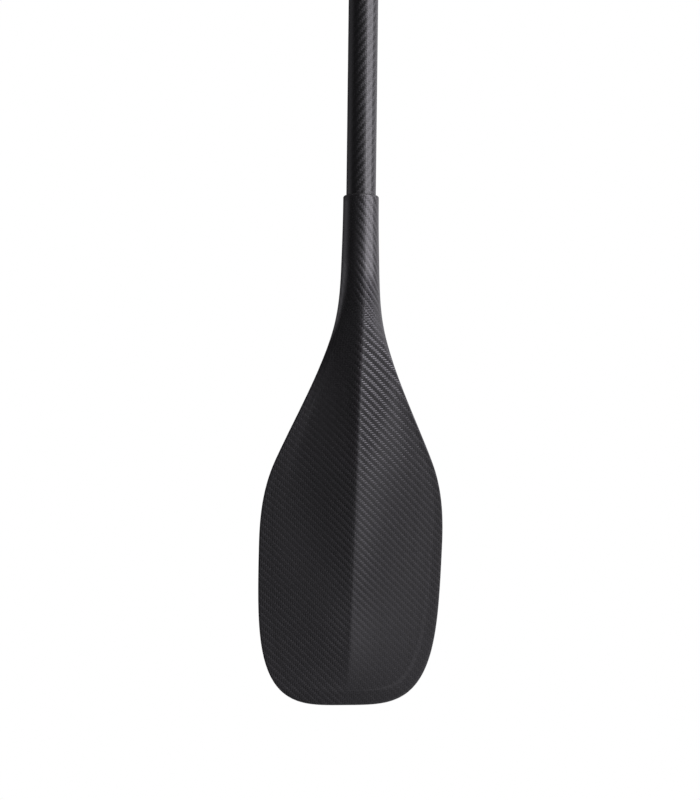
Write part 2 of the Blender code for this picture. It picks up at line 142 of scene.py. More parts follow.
# How closely the surfaces are divided, and where their rows lie
LIP_STATIONS = 9
NECK_STATIONS = 16
SIDE_SPACING = 0.0028
TIP_STATIONS = 84
TIP_STARTS_AT = 0.3
TIP_CROWDING = 4
EDGE_STATIONS = 7
BAND_STATIONS = (0.2, 0.6, 0.93)
BEVEL_STATIONS = 9
BEVEL_SET_BACK = 0.02
RING_ANGLE = 30.0
FLANK_STATIONS = 23
FLANK_CROWDING = 1.25
FLANK_TURN = 67.0
FLANK_EASE = 7.0
TUBE_STATIONS = 97
SHAFT_STATIONS = 12
GRIP_STEM_STATIONS = 8
GRIP_UNDER_STATIONS = 30
GRIP_OVER_STATIONS = 26
GRIP_STATIONS = 121
FINE_STATIONS = 4001
TOW_TABLE = (-0.12, 0.45, 1141)
MERGED_WITHIN = 2e-6
NEARLY_ZERO = 1e-6
SHARP_ANGLE = math.radians(35.0)

# How far the cloth is stretched along the paddle, at distances down from the bend
STRETCH = (
    (-0.110, -0.020, 0.050, 0.095, 0.180, 0.260, 0.370),
    (1.144, 1.130, 1.060, 1.045, 1.00, 0.985, 0.97),
)
# How far it is stretched across the paddle, again at distances down from the bend
SPREAD = (
    (-0.100, -0.050, -0.013, 0.020, 0.050, 0.080, 0.110, 0.145, 0.185, 0.240),
    (1.00, 0.87, 0.80, 1.10, 1.35, 1.24, 1.12, 1.07, 1.04, 1.00),
)


# Settings


class PaddleSizes(bpy.types.PropertyGroup):
    tow: FloatProperty(
        name="Tow width",
        description="Width of one tow of the carbon cloth",
        default=0.0020,
        unit="LENGTH",
    )
    shaft_tow: FloatProperty(
        name="Shaft tow length",
        description="Length along the shaft that each tow of its cloth takes up",
        default=0.00238,
        unit="LENGTH",
    )
    bead: FloatProperty(
        name="Bond bead",
        description="Size of the bead of adhesive where the shaft enters the socket",
        default=0.0007,
        unit="LENGTH",
    )


class PaddleFinish(bpy.types.PropertyGroup):
    lit_fibre: FloatVectorProperty(
        name="Lit fibre",
        description="Colour that a fully lit tow of the cloth mirrors the room in",
        default=(0.1000, 0.0980, 0.1045),
        size=3,
        subtype="COLOR",
    )
    gap: FloatVectorProperty(
        name="Gap resin",
        description="Colour of the resin in the gaps between tows",
        default=(0.0060, 0.0058, 0.0062),
        size=3,
        subtype="COLOR",
    )
    foam: FloatVectorProperty(
        name="Foam",
        description="Colour of the core foam",
        default=(0.62, 0.56, 0.42),
        size=3,
        subtype="COLOR",
    )
    plug: FloatVectorProperty(
        name="Plug foam",
        description="Colour of the foam plugs in the shaft",
        default=(0.12, 0.13, 0.14),
        size=3,
        subtype="COLOR",
    )


class PaddleStudio(bpy.types.PropertyGroup):
    softbox: FloatProperty(
        name="Softbox",
        description="Brightness of the softbox on the right as the clear coat mirrors it",
        default=4.2,
        min=0.0,
    )
    lamp: FloatProperty(
        name="Lamp",
        description="Power of the same softbox as a lamp on matt surfaces",
        default=40.0,
        min=0.0,
        subtype="POWER",
    )
    fill: FloatProperty(
        name="Fill",
        description="Brightness of the room on matt surfaces",
        default=0.38,
        min=0.0,
    )
    floor_drop: FloatProperty(
        name="Floor drop",
        description="Height of the blade's tip above the floor",
        default=0.35,
        unit="LENGTH",
    )


# Curves and outlines


def smooth_step(x, low, high):
    """0 below low, 1 above high, and the cubic 3t^2 - 2t^3 between them."""
    t = np.clip((x - low) / (high - low), 0.0, 1.0)
    return t * t * (3.0 - 2.0 * t)


def running_sum(steps):
    """The sum of the steps before each place, from 0 at the first, along the last axis."""
    total = np.cumsum(steps, axis=-1)
    return np.concatenate([0.0 * total[..., :1], total], axis=-1)


def curve_through(x, knots):
    """A cubic Hermite curve through knots, each a place, a value and a slope."""
    x = np.asarray(x, float)
    y = np.where(x < knots[0][0], knots[0][1], knots[-1][1])
    for (x0, y0, m0), (x1, y1, m1) in zip(knots[:-1], knots[1:]):
        t = np.clip((x - x0) / (x1 - x0), 0.0, 1.0)
        rise = (3.0 - 2.0 * t) * t * t
        bow = (x1 - x0) * t * (1.0 - t) * (m0 * (1.0 - t) - m1 * t)
        y = np.where((x >= x0) & (x <= x1), y0 * (1.0 - rise) + y1 * rise + bow, y)
    return y


def half_width(s):
    """Half the width of neck and blade at s, measured down from the bend.

    It is a Hermite curve through the neck, throat and shoulder, cut off by a superellipse
    that rounds the tip.
    """
    knots = [
        (-SOCKET_LENGTH + LIP_RADIUS, SOCKET_RADIUS, 0.0),
        (-NECK_WIDENS_FROM, NECK_RADIUS, NECK_SLOPE),
        (THROAT_AT, THROAT_HALF_WIDTH, THROAT_SLOPE),
        (SHOULDER_AT, SHOULDER_HALF_WIDTH, SHOULDER_SLOPE),
        (WIDEST_AT, BLADE_HALF_WIDTH, 0.0),
    ]
    t = np.clip((s - TIP_ROUNDS_FROM) / (BLADE_LENGTH - TIP_ROUNDS_FROM), 0.0, 1.0)
    tip = BLADE_HALF_WIDTH * (1.0 - t**TIP_ROUNDNESS_ALONG) ** (1.0 / TIP_ROUNDNESS_ACROSS)
    return np.minimum(curve_through(s, knots), tip)


def lip_outline(count):
    """A quarter circle from the flat top of the socket to its side."""
    a = np.linspace(0.0, math.pi / 2, count)
    across = SOCKET_RADIUS - LIP_RADIUS * (1.0 - np.sin(a))
    along = -SOCKET_LENGTH + LIP_RADIUS * (1.0 - np.cos(a))
    return np.stack([across, along], axis=1)


def side_outline(start, end, count):
    """The outline between two stations, evenly spaced along the paddle."""
    s = np.linspace(start, end, count)
    return np.stack([half_width(s), s], axis=1)


def tip_outline(start, count):
    """The tip's superellipse from the station start to its middle, evenly spaced by length.

    Along is the sine and across the cosine of an angle, each to its own power. The curve is
    worked out closely and then divided by its arc length.
    """
    reach = (start - TIP_ROUNDS_FROM) / (BLADE_LENGTH - TIP_ROUNDS_FROM)
    first = math.asin(reach ** (TIP_ROUNDNESS_ALONG / 2))
    a = math.pi / 2 - (math.pi / 2 - first) * np.linspace(1.0, 0.0, FINE_STATIONS) ** TIP_CROWDING
    along = np.sin(a) ** (2.0 / TIP_ROUNDNESS_ALONG)
    across = np.maximum(np.cos(a), 0.0) ** (2.0 / TIP_ROUNDNESS_ACROSS)
    u = BLADE_HALF_WIDTH * across
    s = TIP_ROUNDS_FROM + (BLADE_LENGTH - TIP_ROUNDS_FROM) * along
    length = running_sum(np.hypot(np.diff(u), np.diff(s)))
    even = np.linspace(0.0, length[-1], count)
    tip = np.stack([np.interp(even, length, u), np.interp(even, length, s)], axis=1)
    tip[-1] = (0.0, BLADE_LENGTH)
    return tip


def blade_outline(start):
    """Half of the blade's outline from the station start down to the middle of the tip."""
    tip_from = TIP_ROUNDS_FROM + TIP_STARTS_AT * (BLADE_LENGTH - TIP_ROUNDS_FROM)
    side = side_outline(start, tip_from, int((tip_from - start) / SIDE_SPACING) + 2)
    return np.concatenate([side[:-1], tip_outline(tip_from, TIP_STATIONS)])


def laminate_outline():
    """Half of a laminate's outline from the socket's lip to the middle of the tip."""
    neck = side_outline(-SOCKET_LENGTH + LIP_RADIUS, MORPH_STARTS, NECK_STATIONS)
    return np.concatenate([lip_outline(LIP_STATIONS), neck[1:-1], blade_outline(MORPH_STARTS)])


def inward(outline):
    """Unit vectors square to the outline, pointing into the blade."""
    run = np.gradient(outline, axis=0)
    normal = np.stack([-run[:, 1], run[:, 0]], axis=1)
    normal /= np.linalg.norm(normal, axis=1)[:, None]
    normal[-1] = (0.0, -1.0)
    return normal


# Faces of the neck and blade


def front_depth(s):
    """Height of the ridge down the middle of the power face: a Hermite curve."""
    ridge_end = BLADE_LENGTH - BAND_WIDTHS[1][-1] - BEVEL_WIDTH / 2
    knots = [(MORPH_STARTS, float(half_width(MORPH_STARTS)), 0.0), RIDGE_THROAT, RIDGE_SHOULDER]
    return curve_through(s, knots + [(ridge_end, FLAT_HALF + FRONT_STEP, RIDGE_TIP_SLOPE)])


def back_depth(s):
    """Depth of the spine down the middle of the back: a Hermite curve."""
    knots = [(MORPH_STARTS, float(half_width(MORPH_STARTS)), 0.0), SPINE_THROAT]
    return curve_through(s, knots + [(SPINE_ENDS, FLAT_HALF + BACK_STEP, 0.0)])


def front_rise(share, u, s):
    """A ridge with scooped flanks: two powers of (1 - share), with the share eased near 0."""
    round_half = np.interp(s, *RIDGE_SOFTNESS)
    ease = round_half / np.maximum(u[:, :1], round_half)
    soft = np.sqrt(share**2 + ease**2) - ease
    full = np.sqrt(1.0 + ease**2) - ease
    left = 1.0 - np.minimum(soft / full, 1.0)
    return sum(part * left**power for part, power in (SCOOP_BROAD, SCOOP_NARROW))


def back_rise(share, u, s):
    """A rounded spine, whatever the share and station: a squared cosine over its half width."""
    return np.cos(np.clip(np.abs(u) / SPINE_HALF_WIDTH, 0.0, 1.0) * math.pi / 2) ** 2


def lean_ridge(rows):
    """Rows with their middle moved across by the ridge's offset, and their edges kept.

    The move is the offset times 1 - (across / widest)^2 of each row.
    """
    across = rows[..., 0]
    widest = np.maximum(np.abs(across).max(axis=1, keepdims=True), NEARLY_ZERO)
    share = np.interp(rows[..., 1], *RIDGE_OFFSET_AT)
    moved = rows.copy()
    moved[..., 0] += RIDGE_OFFSET * share * (1.0 - (across / widest) ** 2)
    return moved


def seam_height(s):
    """Half the gap between the laminates, a hairline that opens round the edge band."""
    opening = smooth_step(s, BAND_SHOWS_FROM, BAND_FULL_FROM)
    return SEAM_HALF + (BAND_SEAM_HALF - SEAM_HALF) * opening


def wall_thickness(s):
    """Wall of the neck, which fills the space round the shaft and thins to the skin."""
    thick = NECK_RADIUS - SHAFT_RADIUS - CLEARANCE
    return thick + (SKIN_THICKNESS - thick) * smooth_step(s, SHAFT_END, THROAT_AT)


def rounding_inset(height):
    """How far the rounded edge lies inside the outline at a height: a quarter ellipse."""
    return EDGE_ROUNDING * (1.0 - np.sqrt(np.maximum(1.0 - (height / FLAT_HALF) ** 2, 0.0)))


def face_rows(outline, depth, rise, step, outer):
    """Rows of a laminate's outer or inner surface as across, along and height.

    Across the blade a row leaves the outline square to it, round the edge, over the flat band
    and up the bevel, and then runs straight to the middle. Up the neck it is a half ellipse,
    wide times the cosine and deep times the sine. The two are mixed point by point between.
    """
    wide, s_edge = outline[:, :1], outline[:, 1:]
    normal = inward(outline)[:, None, :]
    bevel = np.minimum(BEVEL_WIDTH, BEVEL_SHARE * np.maximum(wide, NARROWEST_BEVELLED))
    band = np.interp(s_edge, *BAND_WIDTHS) - bevel / 2
    seam = seam_height(s_edge)

    # The ring round the blade: edge rounding, band and bevel
    turn = np.linspace(0.0, 1.0, EDGE_STATIONS)
    low = np.arcsin(seam / FLAT_HALF)
    lift = FLAT_HALF * np.sin(low + (math.pi / 2 - low) * turn)
    far = rounding_inset(lift)
    on_band = far[:, -1:] + (band - far[:, -1:]) * np.array(BAND_STATIONS)
    up_bevel = np.linspace(0.0, 1.0, BEVEL_STATIONS)[1:]
    away = np.concatenate([far, on_band, band + bevel * (up_bevel - BEVEL_SET_BACK)], axis=1)
    flat = FLAT_HALF + 0.0 * on_band
    raised = FLAT_HALF + step * smooth_step(up_bevel, 0, 1) + 0.0 * band
    ring_height = np.concatenate([lift, flat, raised], axis=1)
    ring = outline[:, None, :] + normal * away[..., None]
    ring_angle = RING_ANGLE * away / (band + bevel)

    # From the bevel to the middle
    top = outline + normal[:, 0] * (band + bevel)
    share = np.linspace(1.0, 0.0, FLANK_STATIONS) ** FLANK_CROWDING
    u = np.maximum(top[:, :1], 0.0) * share
    s_top = top[:, 1:2] + 0.0 * share
    crown = np.maximum(depth(s_top) - FLAT_HALF - step, 0.0)
    inside_height = FLAT_HALF + step + crown * rise(share, u, s_top)
    inside_angle = 90.0 - FLANK_TURN * share + FLANK_EASE * share**2 + 0.0 * u
    plan = np.concatenate([ring, np.stack([u, s_top], axis=-1)], axis=1)
    height = np.concatenate([ring_height, inside_height], axis=1)[..., None]
    blade = np.concatenate([plan, height], axis=-1)

    # The neck's half ellipse, and the mix of both
    angle = np.radians(np.concatenate([ring_angle, inside_angle], axis=1))
    angle -= angle[:, :1] * (1.0 - angle / (math.pi / 2))
    deep = np.where(s_edge < MORPH_STARTS, wide, depth(s_edge))
    if not outer:
        blade[..., 2] = np.maximum(blade[..., 2] - SKIN_THICKNESS, seam)
        bore = SHAFT_RADIUS + CLEARANCE
        thin = wall_thickness(s_edge)
        wide = np.where(s_edge < SHAFT_END, bore, wide - thin)
        deep = np.where(s_edge < SHAFT_END, bore, deep - thin)
    neck = np.stack([wide * np.cos(angle), s_edge + 0.0 * angle, deep * np.sin(angle)], axis=-1)
    neck[:, 0, 2] = seam[:, 0]
    morph = smooth_step(s_edge[..., None], MORPH_STARTS, MORPH_ENDS)
    half = neck + (blade - neck) * morph
    half[:, -1, 0] = 0.0
    half[-1, :, 0] = 0.0
    mirrored = half[:, -2::-1] * np.array([-1.0, 1.0, 1.0])
    return np.concatenate([half, mirrored], axis=1)


def to_world(rows, side):
    """World points of rows given as across, along the bent middle line, and height from it.

    The middle line runs straight down, round an arc of the bend's angle, and straight on.
    """
    u, s, height = rows[..., 0], rows[..., 1], rows[..., 2] * side
    turn = np.clip((s + BEND_LENGTH / 2) / BEND_LENGTH, 0.0, 1.0) * BEND_ANGLE
    radius = BEND_LENGTH / BEND_ANGLE
    before = np.minimum(s + BEND_LENGTH / 2, 0.0)
    after = np.maximum(s - BEND_LENGTH / 2, 0.0)
    y = radius * (1.0 - np.cos(turn)) + after * math.sin(BEND_ANGLE)
    z = BEND_LENGTH / 2 - before - radius * np.sin(turn) - after * math.cos(BEND_ANGLE)
    y = y - height * np.cos(turn)
    z = BEND_Z + z - height * np.sin(turn)
    return np.stack([u, y, z], axis=-1)


def tows_along(s, tow):
    """Tows counted down the paddle: the sum of 1 / (tow times stretch) from the bend."""
    table = np.linspace(*TOW_TABLE)
    rate = 1.0 / (tow * np.interp(table, *STRETCH))
    count = running_sum((rate[1:] + rate[:-1]) / 2 * np.diff(table))
    count -= np.interp(0.0, table, count)
    return np.interp(s, table, count)


def face_cloth(rows, side, tow):
    """Cloth coordinates of a face in tows.

    Across, it is the arc length from the middle over the tow's width times the spread.
    Down, it is the count of tows along the paddle.
    """
    arc = running_sum(np.hypot(np.diff(rows[..., 0], axis=1), np.diff(rows[..., 2], axis=1)))
    middle = rows.shape[1] // 2
    spread = np.interp(rows[:, middle, 1], *SPREAD)[:, None]
    across = (arc[:, middle : middle + 1] - arc) * side / (tow * spread)
    return np.stack([across, tows_along(rows[..., 1], tow)], axis=-1)


# Mesh making


def link_object(name, data):
    """A new object of this data in the scene."""
    made = bpy.data.objects.new(name, data)
    bpy.context.scene.collection.objects.link(made)
    return made


def vertex_numbers(rows):
    """The number of each point of a grid, row by row."""
    return np.arange(rows.shape[0] * rows.shape[1]).reshape(rows.shape[:2])


def grid_faces(index):
    """Corner numbers of the faces of a grid of vertex numbers."""
    corners = [index[:-1, :-1], index[:-1, 1:], index[1:, 1:], index[1:, :-1]]
    return np.stack(corners, axis=-1).reshape(-1, 4)


def mesh_piece(name, points, cloth, faces, material):
    """A closed piece from arrays, with its doubles merged and its faces turned outwards."""
    mesh = bpy.data.meshes.new(name)
    mesh.from_pydata(points.reshape(-1, 3), [], faces)
    layer = mesh.uv_layers.new(name="cloth")
    layer.uv.foreach_set("vector", cloth.reshape(-1, 2)[faces.ravel()].astype("f").ravel())
    bm = bmesh.new()
    bm.from_mesh(mesh)
    bmesh.ops.remove_doubles(bm, verts=bm.verts, dist=MERGED_WITHIN)
    bmesh.ops.dissolve_degenerate(bm, edges=bm.edges, dist=NEARLY_ZERO)
    bmesh.ops.recalc_face_normals(bm, faces=bm.faces)
    bm.to_mesh(mesh)
    bm.free()
    mesh.shade_smooth()
    mesh.set_sharp_from_angle(angle=SHARP_ANGLE)
    mesh.materials.append(material)
    piece = link_object(name, mesh)
    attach(piece, "root")
    return piece


def shell_piece(name, outer, inner, cloth, material):
    """A closed body between two grids that share their rows, walled along sides and top."""
    top = vertex_numbers(outer)
    under = top + top.size
    sides = [(top[:, 0], under[:, 0]), (under[:, -1], top[:, -1])]
    walls = [grid_faces(np.stack(pair)) for pair in [*sides, (under[0], top[0])]]
    faces = np.concatenate([grid_faces(top), grid_faces(under)[:, ::-1], *walls])
    points, both = np.stack([outer, inner]), np.stack([cloth, cloth])
    return mesh_piece(name, points, both, faces, material)


def turned_piece(name, profile, cloth_down, material):
    """A closed profile of radius and height carried once round the Z axis."""
    angle = np.linspace(-math.pi, math.pi, TUBE_STATIONS)
    radius, z = np.asarray(profile, float).T[:, :, None]
    points = np.stack([radius * np.sin(angle), -radius * np.cos(angle), z + 0.0 * angle], axis=-1)
    across = angle / math.tau * SHAFT_TOWS_AROUND + 0.0 * z
    cloth = np.stack([across, np.asarray(cloth_down)[:, None] + 0.0 * angle], axis=-1)
    return mesh_piece(name, points, cloth, grid_faces(vertex_numbers(points)), material)


# Shader graphs


def color(values):
    return (*values, 1.0)


def math_method(operation):
    """A method that adds a Math node of one operation."""
    return lambda self, *others: self.math(operation, *others)


class Wire:
    """A shader socket that takes part in Python arithmetic by adding Math nodes."""

    def __init__(self, graph, socket):
        self.graph = graph
        self.socket = socket

    def math(self, operation, *others):
        inputs = dict(enumerate([self, *others]))
        return self.graph.add("Math", inputs, operation=operation)

    __add__ = __radd__ = math_method("ADD")
    __mul__ = __rmul__ = math_method("MULTIPLY")
    __sub__ = math_method("SUBTRACT")
    __truediv__ = math_method("DIVIDE")
    __pow__ = math_method("POWER")
    __lt__ = math_method("LESS_THAN")
    floor = math_method("FLOOR")
    fraction = math_method("FRACT")
    absolute = math_method("ABSOLUTE")

    def __rsub__(self, other):
        return self * -1.0 + other

    def clipped(self):
        return self.math("MAXIMUM", 0.0).math("MINIMUM", 1.0)

    def step(self, low, high):
        """The cubic step from 0 at low to 1 at high."""
        inputs = {"Value": self, "From Min": low, "From Max": high}
        return self.graph.add("MapRange", inputs, interpolation_type="SMOOTHSTEP")


class Graph:
    """The nodes of one material or world."""

    def __init__(self, tree):
        self.tree = tree

    def feed(self, node, inputs):
        """Link or set a node's inputs."""
        for key, value in inputs.items():
            if isinstance(value, Wire):
                self.tree.links.new(value.socket, node.inputs[key])
            else:
                node.inputs[key].default_value = value

    def set(self, shader, **inputs):
        """The same with the inputs' names as keywords, which have underscores for spaces."""
        self.feed(shader, {key.replace("_", " "): value for key, value in inputs.items()})

    def add(self, kind, inputs=None, output=0, **settings):
        """One output of a new ShaderNode of this kind, after its settings and then its inputs."""
        node = self.tree.nodes.new("ShaderNode" + kind)
        for key, value in settings.items():
            setattr(node, key, value)
        self.feed(node, inputs or {})
        return Wire(self, node.outputs[output])

    def mix(self, factor, first, second):
        """A colour between two colours."""
        return self.add("Mix", {0: factor, 6: first, 7: second}, 2, data_type="RGBA")

    def scaled(self, vector, factor):
        """A colour or vector times a number."""
        return self.add("VectorMath", {"Vector": vector, "Scale": factor}, operation="SCALE")

    def bump(self, height, distance=1.0, strength=1.0):
        return self.add("Bump", {"Strength": strength, "Distance": distance, "Height": height})

    def place(self, output="Object"):
        return self.add("TexCoord", None, output)

    def cloth(self):
        """The piece's own map of the cloth, counted in tows."""
        return self.add("UVMap", uv_map="cloth")

    def split(self, vector):
        """The three numbers of a vector."""
        first = self.add("SeparateXYZ", {0: vector})
        return tuple(Wire(self, socket) for socket in first.socket.node.outputs)

    def ramp(self, place, levels):
        """A smooth grey level round the circle, from stops in degrees."""
        level = self.add("ValToRGB", {0: place})
        ramp = level.socket.node.color_ramp
        ramp.interpolation = "EASE"
        ramp.elements.remove(ramp.elements[1])
        ramp.elements[0].color = color((levels[0][1],) * 3)
        for angle, share in levels[1:]:
            ramp.elements.new(angle / 360.0 + 0.5).color = color((share,) * 3)
        return level

    def vector(self, x, y, z=0.0):
        return self.add("CombineXYZ", {0: x, 1: y, 2: z})

    def noise(self, at, scale, detail=2.0, roughness=0.5):
        inputs = {"Vector": at, "Scale": scale, "Detail": detail, "Roughness": roughness}
        return self.add("TexNoise", inputs)


def new_material(name):
    """An empty material with its principled shader, as its graph and that shader."""
    material = bpy.data.materials.new(name)
    material.use_nodes = True
    return material, Graph(material.node_tree), material.node_tree.nodes["Principled BSDF"]


def blend(share, first, second):
    """The first number where the share is 0 and the second where it is 1."""
    return first + (second - first) * share


def arch(t):
    """0 at both ends of a float or tow and 1 in its middle: 1 - (2t - 1)^2."""
    centred = t * 2.0 - 1.0
    return 1.0 - centred * centred


# How far the tows wander, and the shape and streaks of their floats
WANDER = 0.9
WANDER_SCALE = 0.045
FLOAT_FULLNESS = 0.35
BOW_SHARPNESS = 6.0
STREAKS_PER_TOW = 9.0
STREAKS_ALONG = 0.35
STREAK_DETAIL = (1.0, 3.0, 0.6)
TOW_STRIDE = 1.7
OTHER_FIELDS = (9.0, 4.0)


def twill(graph, lean):
    """A two by two twill on the cloth map, whose ribs lean down to the right or to the left.

    Counted in tows, a cell shows the lengthwise tow where (column - lean * row) mod 4 is under
    2, and the crosswise tow elsewhere. Each float is two cells long. It returns the mask of
    lengthwise floats, the height of the cloth, streaks like those of single filaments, a tone
    for each tow, and a bow that is highest towards the lower end of each lengthwise float.
    """
    place = graph.cloth()
    across, down, _ = graph.split(place)
    drift = graph.noise(place, WANDER_SCALE)
    sway = graph.noise(graph.vector(across, down, OTHER_FIELDS[0]), WANDER_SCALE)
    u = across + (drift - 0.5) * WANDER
    v = down + (sway - 0.5) * WANDER
    column, row = u.floor(), v.floor()
    u_in, v_in = u - column, v - row
    quarter = ((column - row * lean) / 4.0).fraction() * 4.0
    quarter = (quarter + 0.5).floor().math("MODULO", 4.0)
    lengthwise = quarter < 1.5
    cells_down = 1.0 - quarter if lean > 0 else quarter
    down_float = ((cells_down + v_in) / 2.0).clipped()
    over_float = ((quarter - 2.0 + u_in) / 2.0).clipped()
    long_arch = arch(down_float) ** FLOAT_FULLNESS * arch(u_in)
    cross_arch = arch(over_float) ** FLOAT_FULLNESS * arch(v_in)
    height = blend(lengthwise, cross_arch, long_arch)
    down_at = graph.vector(u * STREAKS_PER_TOW, v * STREAKS_ALONG)
    over_at = graph.vector(u * STREAKS_ALONG, v * STREAKS_PER_TOW, OTHER_FIELDS[1])
    over_streak, down_streak = (graph.noise(at, *STREAK_DETAIL) for at in (over_at, down_at))
    streak = blend(lengthwise, over_streak, down_streak)
    tow_column = column * TOW_STRIDE * lengthwise
    tow_row = row * TOW_STRIDE * (1.0 - lengthwise)
    tow_tone = graph.noise(graph.vector(tow_column, tow_row), 1.0)
    bow = down_float * (1.0 - down_float**BOW_SHARPNESS) * lengthwise
    return lengthwise, height, streak, tow_tone, bow


# Where the cloth's looks, and the light and shade painted into it, start and end to change: along
# Z, across, and in tows from the ridge
THROAT_CLOTH = (BEND_Z - 0.22, BEND_Z - 0.04)
NECK_CLOTH = (BEND_Z - 0.035, BEND_Z + 0.005)
RIDGE_HIGHLIGHT_FADES = (BEND_Z - 0.40, BEND_Z - 0.34)
LOW_BLADE_PAINTED_LIGHT = (BEND_Z - 0.38, BEND_Z - 0.29)
TIP_BAND_SHADE_SPAN = (BEND_Z - 0.4120, BEND_Z - 0.4090)
BOWED_FROM = (BEND_Z - 0.050, BEND_Z - 0.015)
BOWED_TO = (BEND_Z + 0.030, BEND_Z + 0.045)
WEAVE_SHADE_TURNS = (-0.009, 0.000)
RIDGE_HIGHLIGHT_TOWS = (2.0, 18.0)

# How strong those changes and that painted light and shade are, and what is the same all over
LOW_LIT_WEAVE_LOSS = 0.5
LOW_PAINTED_LIGHT = 0.11
TIP_BAND_PAINTED_SHADE = 0.15
STREAK_TONES = (0.55, 1.45)
TOW_TONES = (0.65, 1.35)
STREAK_RELIEF = 0.08
STREAK_ROUGHNESS = 0.10
RESIN_GAP = (0.02, 0.45)
CLOTH_METALLIC = (0.05, 0.95)
CLOTH_SPECULAR = 0.15
COAT_IOR = 1.5

# Finish of each cloth; three numbers are for the lower blade, the throat and the neck. The tows'
# contrast by side and the ridge's highlight are painted light and shade, and the split in tone
# between tows along and across is partly the cloth's own and partly painted sheen.
BLADE_GLOSS = {
    "shade_side_weave": (1.0, 0.25, 0.15),
    "lit_side_weave": (1.0, 1.0, 1.4),
    "along": (0.33, 0.50, 0.66),
    "across": (0.49, 0.65, 0.22),
    "long_relief": (0.00012, 0.00010, 0.00008),
    "cross_relief": (0.00022, 0.00042, 0.00012),
    "long_rough": (0.20, 0.20, 0.40),
    "cross_rough": (0.20, 0.20, 0.18),
    "bow": 0.00080,
    "ridge_highlight": 0.46,
    "coat": 0.7,
    "coat_roughness": 0.12,
}
SHAFT_GLOSS = {
    "shade_side_weave": 0.2, "lit_side_weave": 1.4, "along": 0.56, "across": 0.21,
    "long_relief": 0.00008, "cross_relief": 0.00012, "long_rough": 0.55, "cross_rough": 0.18,
    "bow": 0.0, "ridge_highlight": 0.0, "coat": 0.85, "coat_roughness": 0.06,
}
GRIP_GLOSS = {
    "shade_side_weave": 1.0, "lit_side_weave": 1.0, "along": 0.80, "across": 0.40,
    "long_relief": 0.00020, "cross_relief": 0.00026, "long_rough": 0.34, "cross_rough": 0.30,
    "bow": 0.0, "ridge_highlight": 0.0, "coat": 0.8, "coat_roughness": 0.18,
}

# Sanded laminate, adhesive wiped smooth, and foam
SANDED = {
    "tones": ((0.012, 0.012, 0.013), (0.040, 0.039, 0.041)),
    "mottle": (900.0, 3.0),
    "marks": (5200.0, 2.0),
    "bump": (0.00003, 0.5),
    "roughness": (0.38, 0.63),
    "coat": (0.35, 0.25),
}
WIPED = {
    "tones": ((0.010, 0.010, 0.010), (0.022, 0.021, 0.022)),
    "mottle": (500.0, 2.0),
    "marks": (500.0, 2.0),
    "bump": (0.00006, 0.4),
    "roughness": (0.30, 0.45),
    "coat": (0.0, 0.0),
}
FOAM_CELLS_SCALE = 1400.0
FOAM_CLOUDS_SCALE = 60.0
FOAM_CELL_EDGE = (0.05, 0.6)
FOAM_PIT_SHADE_TONES = (0.70, 1.05)
FOAM_CLOUD_TONE = 0.2
FOAM_ROUGHNESS = (0.75, 0.85)
FOAM_BUMP = (0.0002, 0.7)


def by_height(high, value):
    """One number as it is; three blended up the paddle from lower blade to throat to neck."""
    if isinstance(value, float):
        return value
    lower, throat, neck = value
    return blend(high.step(*NECK_CLOTH), blend(high.step(*THROAT_CLOTH), lower, throat), neck)


